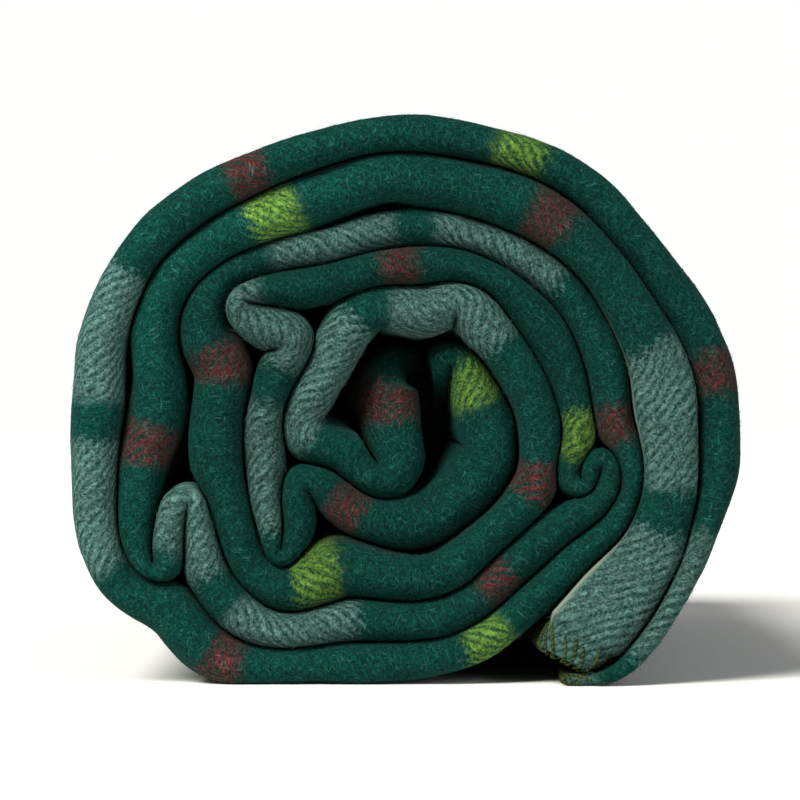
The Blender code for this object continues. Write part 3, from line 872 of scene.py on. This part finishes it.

# %% [markdown]
# ## Fulled plaid twill
# The weft stripes run across the folded strand and the warp stripes run along the roll. Where a
# dyed yarn crosses one of another colour, the twill shows as fine slanting lines: each pick floats
# over two ends and under two, one end further on every time. Fulling blurs those lines with loose
# fibres. So the material works out the weft's colour from the length, the warp's from the width,
# and lets a slanting wave, broken up by felt noise, choose between them. A second list pairs
# lengths with a brightness factor: painted light and shade, which makes some turns of the roll
# lighter and others darker, as the light falls on them.

# %% The stripes' colours
weft_dyes = {"green": "#03312A", "sage": "#46615C", "red": "#50151B", "lime": "#517026"}
warp_dyes = {"green": "#042923", "sage": "#334F49", "red": "#2C1518", "lime": "#37501E"}

# Places and distances on the cloth in millimetres.
half_repeat = 172.0
edge_softness = 1.9
first_end, last_end = -14.0, 2108.0
red_middle, rim_width = 90.0, 434.0
twill_length, twill_width = 3.6, 2.9
# Painted light and shade: a brightness factor for each length, lighter where a turn catches more
# light and darker where it lies in shade.
painted_light_by_length = [(-20, 0.88), (110, 0.82), (190, 0.95), (250, 1.10), (312, 1.28), (380, 1.12),
            (487, 1.00), (620, 0.90), (800, 0.86), (1050, 0.95), (1200, 0.85), (1550, 0.78),
            (1700, 0.95), (1812, 1.10), (1890, 1.40), (1930, 1.00), (1990, 0.85), (2120, 0.96)]
stripe_edges = [(6, "green", "sage"), (45, "sage", "green"), (84.6, "green", "red"),
                (95.4, "red", "green"), (165, "green", "lime")]


def on_cloth(tree):
    """The place on the cloth in millimetres, then its length and its width."""
    place = add(tree, "UVMap", uv_map="cloth")
    place = add(tree, "Mapping", {"Vector": place, "Scale": to_millimetres})
    length = add(tree, "SeparateXYZ", (place,))
    return place, length, length.node.outputs[1]


def in_half_repeat(tree, place):
    """The repeat is a mirror, so a ping-pong wave folds a place into half a repeat."""
    return add(tree, "Math", (place, half_repeat), **mirrored)


def stripe_colour(tree, place, dyes):
    """The stripe at a place in millimetres: a colour ramp holds the stripes of half a repeat."""
    share = add(tree, "Math", (in_half_repeat(tree, place), half_repeat), **over)
    ramp = add(tree, "ValToRGB", (share,))
    stops = ramp.node.color_ramp.elements
    stops[0].color, stops[1].color = dye(dyes["green"]), dye(dyes["lime"])
    for edge, before, after in stripe_edges:
        for shift, name in ((-edge_softness, before), (edge_softness, after)):
            stops.new((edge + shift) / half_repeat).color = dye(dyes[name])
    return ramp


def warp_colour(tree, width):
    """The warp's stripe: the repeat starts at the middle of the sheet's width."""
    from_middle = add(tree, "Math", (width, 500.0 * sheet_width), **minus)
    return stripe_colour(tree, from_middle, warp_dyes)


def painted_light_along_roll(tree, length):
    """Painted light and shade at a length in millimetres, read from the list as a grey factor."""
    start, end = painted_light_by_length[0][0], painted_light_by_length[-1][0]
    ramp = add(tree, "ValToRGB", (add(tree, "MapRange", (length, start, end)),))
    stops = ramp.node.color_ramp.elements
    for place, value in painted_light_by_length[1:-1]:
        stops.new((place - start) / (end - start))
    for stop, (place, value) in zip(stops, painted_light_by_length):
        stop.color = (value, value, value, 1.0)
    return ramp


print(len(stripe_edges) * 2, "stripe edges in each repeat of", 2 * half_repeat, "mm")

# %% [markdown]
# Close to, fulled wool is a mat of short hairs that lie every way. Noise that is stretched six
# times longer than wide looks like hairs in one direction, so several layers of it, each turned
# another way, make the mat.

# %% A layer of matted hairs
def hairs(tree, place, degrees, wide=0.42, long=2.6):
    """Noise in a frame turned by degrees, wide and long millimetres to a lump, slightly kinked."""
    turned = add(tree, "Mapping", {"Vector": place, "Rotation": (0, 0, math.radians(degrees))})
    drawn = add(tree, "Mapping", {"Vector": turned, "Scale": (1 / wide, 1 / long, 1)})
    return add(tree, "TexNoise", {"Vector": drawn, "Scale": 1.0, "Detail": 1.5, "Distortion": 0.7})


hair_ways = (8, 52, 97, 141)
print("hairs lie", hair_ways, "degrees round from the cloth's length")

# %% [markdown]
# The twill material sets up six noises, each with its lumps' size in millimetres, its detail and
# its roughness. From them come the wave that picks weft or warp, the ragged stripe edges, the
# light and dark of the mat, and the height for the bump. The colour is then built in layers:
# weft over warp, stray warp fibres, the thin red yarn buried here and there, the mat's shade,
# loose pale hairs, painted light and shade along the roll, a painted sheen on the rim of the
# last turn where fuzz catches the light, and a darkening near the cut ends.

# %% Fulled wool twill
def fulled_wool_twill(name, pieces):
    """Plaid wool. Twill wave: sine of whole turns of length over 3.6 mm less width over 2.9 mm.
    Felt: noise under a millimetre across, with hairs in four directions."""
    material, tree = new_material(name)
    place, length, width = on_cloth(tree)
    felt, tufts, drift, clouds, strays, cover = (
        add(tree, "TexNoise", {"Vector": place, "Scale": 1.0 / lump, "Detail": detail,
                               "Roughness": rough})
        for lump, detail, rough in ((0.85, 2.0, 0.62), (2.3, 2.0, 0.55), (6.0, 1.0, 0.55),
                                    (15.0, 2.0, 0.55), (1.7, 3.0, 0.70), (3.4, 3.0, 0.70)))
    mat = [hairs(tree, place, degrees) for degrees in hair_ways]
    light_hair = mat[0]
    for layer in mat[1:]:
        light_hair = add(tree, "Math", (light_hair, layer), **largest)
    dark_gap = add(tree, "Math", (mat[0], mat[2]), **smallest)

    turns = add(tree, "Math", (length, twill_length), **over)
    turns = add(tree, "Math", (width, -1.0 / twill_width, turns), **times_plus)
    turns = shifted(tree, turns, ((drift, 0.9), (tufts, 0.45)))
    strength = add(tree, "MapRange", (clouds, 0.36, 0.64, 0.35, 1.35))
    wave = add(tree, "Math", (wave_of(tree, turns), strength), **times)
    fuzzy = add(tree, "Math", (wave, 1.25), **times)
    fuzzy = shifted(tree, fuzzy, ((felt, 5.0), (mat[1], 5.0)))
    weft_shows = add(tree, "MapRange", (fuzzy, -2.8, 2.4, 0.08, 1.0), **smooth)

    ragged = add(tree, "Math", (wave, 0.5), **times)
    ragged = shifted(tree, ragged, ((felt, 4.0), (tufts, 7.0), (mat[3], 5.0)))
    ragged_length, ragged_width = (
        add(tree, "Math", (measure, ragged), **plus) for measure in (length, width))
    weft = stripe_colour(tree, ragged_length, weft_dyes)
    warp = warp_colour(tree, ragged_width)
    strayed = add(tree, "MapRange", (strays, 0.5, 0.75, 0.0, 0.75), **smooth)
    from_red = from_place(tree, in_half_repeat(tree, ragged_length), red_middle)
    thin_yarn = add(tree, "MapRange", (from_red, 5.0, 8.0, 1.0, 0.0), **smooth)
    buried = add(tree, "MapRange", (cover, 0.42, 0.60, 0.48, 0.0), **smooth)
    buried = add(tree, "Math", (thin_yarn, buried), **times)

    shade = 1.0
    for noise, low, high, dark, light in (
            (felt, 0.25, 0.75, 0.42, 1.62), (light_hair, 0.50, 0.76, 0.80, 1.60),
            (dark_gap, 0.28, 0.46, 0.62, 1.00), (clouds, 0.30, 0.70, 0.86, 1.14)):
        level = add(tree, "MapRange", (noise, low, high, dark, light))
        shade = add(tree, "Math", (shade, level), **times)
    loose = add(tree, "MapRange", (light_hair, 0.62, 0.80, 0.0, 0.22), **smooth)
    # Painted sheen: a pale strip along the rim of the last turn, where loose fuzz would catch the
    # light.
    at_end = add(tree, "MapRange", (ragged_length, 1990.0, 2030.0), **smooth)
    from_rim = from_place(tree, width, rim_width)
    at_rim = add(tree, "MapRange", (from_rim, 2.5, 6.0, 0.75, 0.0), **smooth)
    painted_fuzz_sheen = add(tree, "Math", (at_end, at_rim), **times)
    # Darker within 5 to 10 mm of each cut end.
    from_first = add(tree, "Math", (length, first_end), **minus)
    from_last = add(tree, "Math", (last_end, length), **minus)
    from_cuts = add(tree, "Math", (from_first, from_last), **smallest)
    from_cuts = add(tree, "Math", (from_cuts, ragged), **plus)
    darker_near_cuts = add(tree, "MapRange", (from_cuts, 5.0, 10.0, 0.14, 0.0), **smooth)
    colour = layered(tree, warp, [
        (weft_shows, weft, "MIX"), (strayed, warp, "MIX"), (buried, warp, "MIX"),
        (1.0, shade, "MULTIPLY"), (loose, dye("#4E7F75"), "MIX"),
        # Painted light and shade along the roll is multiplied in here, and the painted sheen on the
        # rim is mixed over it.
        (1.0, painted_light_along_roll(tree, length), "MULTIPLY"), (painted_fuzz_sheen, dye("#97A293"), "MIX"),
        (darker_near_cuts, dye("#0C2A20"), "MIX")])

    height = 0.0
    for part, share in ((wave, 0.012), (felt, 0.42), (light_hair, 0.34), (tufts, 0.24),
                        (drift, 0.6)):
        height = add(tree, "Math", (part, share, height), **times_plus)
    finish_material(material, pieces, {
        "Base Color": colour, "Roughness": add(tree, "MapRange", (felt, 0.3, 0.7, 0.84, 0.98)),
        "Specular IOR Level": 0.05, "Sheen Weight": 0.06, "Sheen Roughness": 0.5,
        "Sheen Tint": dye("#4FB09C")}, height)


fulled_wool_twill("fulled_wool_twill", (rolled_cloth, outer_cloth, inner_cloth))

# %% [markdown]
# The stray hairs take the stripe colour of the place where they grow, lifted a little because a
# single hair catches more light than the mat, and each hair varies.

# %% Loose wool hair
def loose_wool(name, pieces):
    """The weft or the warp colour of the hair's root, chosen and shaded by coarse noise."""
    material, tree = new_material(name)
    place, length, width = on_cloth(tree)
    solid = add(tree, "TexCoord", out="Object")
    solid = add(tree, "Mapping", {"Vector": solid, "Scale": to_millimetres})
    chance, scales = (
        add(tree, "TexNoise", {"Vector": where, "Scale": 1.0 / lump, "Detail": detail,
                               "Roughness": 0.55})
        for where, lump, detail in ((place, 0.4, 1.0), (solid, 0.3, 2.0)))
    weft = stripe_colour(tree, shifted(tree, length, ((chance, 8.0),)), weft_dyes)
    colour = layered(tree, warp_colour(tree, width), [
        (add(tree, "MapRange", (chance, 0.38, 0.55), **smooth), weft, "MIX"),
        (1.0, add(tree, "MapRange", (scales, 0.3, 0.7, 0.9, 1.5)), "MULTIPLY"),
        (add(tree, "MapRange", (chance, 0.5, 0.75, 0.0, 0.25), **smooth), dye("#6E9488"), "MIX")])
    finish_material(material, pieces, {
        "Base Color": colour, "Roughness": add(tree, "MapRange", (scales, 0.3, 0.7, 0.65, 0.9)),
        "Specular IOR Level": 0.2, "Sheen Weight": 0.1, "Sheen Tint": dye("#6FB0A0")},
        scales, 0.00002, 0.5)


loose_wool("loose_wool_hair", (rolled_hairs, outer_hairs, inner_hairs))

# %% [markdown]
# ## Stitching yarn
#
# The edge yarn is a soft two-ply wool. Its plies wind round each other, which shows as slanting
# ridges with painted shade in the grooves between them, and loose hairs dull its colour here and
# there.

# %% Two-ply wool yarn
def plied_yarn(name, pieces):
    """Olive yarn. Ply wave: sine of whole turns of the run along the yarn over 1.5 mm plus the
    place round it; the grooves are lower and carry painted shade."""
    material, tree = new_material(name)
    run = add(tree, "SeparateXYZ", (add(tree, "UVMap", uv_map="yarn"),))
    solid = add(tree, "TexCoord", out="Object")
    solid = add(tree, "Mapping", {"Vector": solid, "Scale": to_millimetres})
    felt, patch = (
        add(tree, "TexNoise", {"Vector": solid, "Scale": 1.0 / lump, "Detail": detail,
                               "Roughness": rough})
        for lump, detail, rough in ((0.25, 3.0, 0.6), (6.0, 2.0, 0.55)))
    turns = add(tree, "Math", (run, 1000.0 / 1.5, run.node.outputs[1]), **times_plus)
    wave = wave_of(tree, turns)
    ridge = shifted(tree, wave, ((felt, 1.6),))
    # Painted shade: dark olive in the ply grooves, lighter olive on the ridges.
    colour = layered(tree, dye("#10180D"), [
        (add(tree, "MapRange", (ridge, -0.9, 0.8), **smooth), dye("#33431F"), "MIX"),
        (add(tree, "MapRange", (patch, 0.4, 0.65, 0.0, 0.4), **smooth), dye("#3F4E2A"), "MIX")])
    height = add(tree, "Math", (wave, 0.07), **times)
    height = add(tree, "Math", (felt, 0.15, height), **times_plus)
    finish_material(material, pieces, {
        "Base Color": colour, "Roughness": add(tree, "MapRange", (felt, 0.3, 0.7, 0.75, 0.95)),
        "Specular IOR Level": 0.10, "Sheen Weight": 0.08, "Sheen Roughness": 0.5,
        "Sheen Tint": dye("#8C9A62")}, height)


plied_yarn("plied_wool_yarn", (outer_stitches, inner_stitches))

# %% [markdown]
# ## Floor, light and camera
#
# A pale floor of painted board carries the roll. One broad soft light shines from the upper left
# in front, a weaker one fills from the right, and a near-white sky lights the rest. The camera
# looks straight along the roll from half its height.

# %% Pale floor
def floor_board(name, reach, count=41):
    """A square grid with reach metres to each side and count points each way, at height nought."""
    marks = np.linspace(-reach, reach, count)
    x, y = np.meshgrid(marks, marks, indexing="ij")
    points = np.stack([x.ravel(), y.ravel(), np.zeros(x.size)], axis=1)
    mesh = bpy.data.meshes.new(name)
    mesh.from_pydata(points.tolist(), [], quads(count, count, 0, True).tolist())
    material, tree = new_material("pale_matt_paint")
    place = add(tree, "TexCoord", out="Object")
    specks = add(tree, "TexNoise", {"Vector": place, "Scale": 250.0, "Roughness": 0.55})
    colour = layered(tree, dye("#F4F3F0"), [(specks, dye("#FAF9F6"), "MIX")])
    board = placed(name, mesh)
    surface = {"Base Color": colour, "Roughness": 0.9, "Specular IOR Level": 0.2}
    finish_material(material, [board], surface)
    return board


floor = floor_board("floor", 8.0)
print("floor", len(floor.data.polygons), "faces, normal", tuple(floor.data.polygons[0].normal))

# %% Light and camera
def far_light(name, way, strength, spread, colour="#FFFFFF"):
    """A light from far away that shines along way, with a disc of spread degrees for soft edges."""
    light = bpy.data.lights.new(name, "SUN")
    light.energy = strength
    light.angle = math.radians(spread)
    light.color = dye(colour)[:3]
    x, y, z = unit(np.array(way))
    placed(name, light).rotation_euler = (math.acos(-z), 0.0, math.atan2(-x, y))


far_light("key_light", (0.58, 0.9, -0.88), 5.1, 26.0, "#FFFDF8")
far_light("fill_light", (-0.9, 1.0, -0.35), 1.0, 40.0, "#F8FAFF")

world = bpy.data.worlds.new("pale_studio")
world.use_nodes = True
sky = world.node_tree
seen = add(sky, "LightPath", out="Is Camera Ray")
strength = add(sky, "MapRange", (seen, 0.0, 1.0, 0.25, 1.04))
sky.nodes["Background"].inputs["Color"].default_value = dye("#FBFBFA")
sky.links.new(strength, sky.nodes["Background"].inputs["Strength"])
bpy.context.scene.world = world
bpy.context.scene.view_settings.view_transform = "Standard"

eye = bpy.data.cameras.new("camera")
eye.sensor_width = 36.0
eye.lens = 198.0
camera = placed("camera", eye)
camera.location = (-0.0016, -1.51, 0.0839)
camera.rotation_euler = (math.pi / 2, 0.0, 0.0)
bpy.context.scene.camera = camera
print("camera at", tuple(round(value, 3) for value in camera.location))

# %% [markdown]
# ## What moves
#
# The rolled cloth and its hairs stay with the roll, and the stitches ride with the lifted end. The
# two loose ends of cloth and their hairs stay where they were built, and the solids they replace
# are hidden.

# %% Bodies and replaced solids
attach(rolled_cloth, "roll")
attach(rolled_hairs, "roll")
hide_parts("blanket_roll")
for piece, node in ((outer_cloth, "outer_end"), (inner_cloth, "inner_end")):
    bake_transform(piece)
    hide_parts(node)
for piece, node in ((outer_stitches, "outer_hem_stitching"),
                    (inner_stitches, "inner_hem_stitching")):
    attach(piece, "loose_end")
    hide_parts(node)
for piece in (outer_hairs, inner_hairs):
    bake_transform(piece)
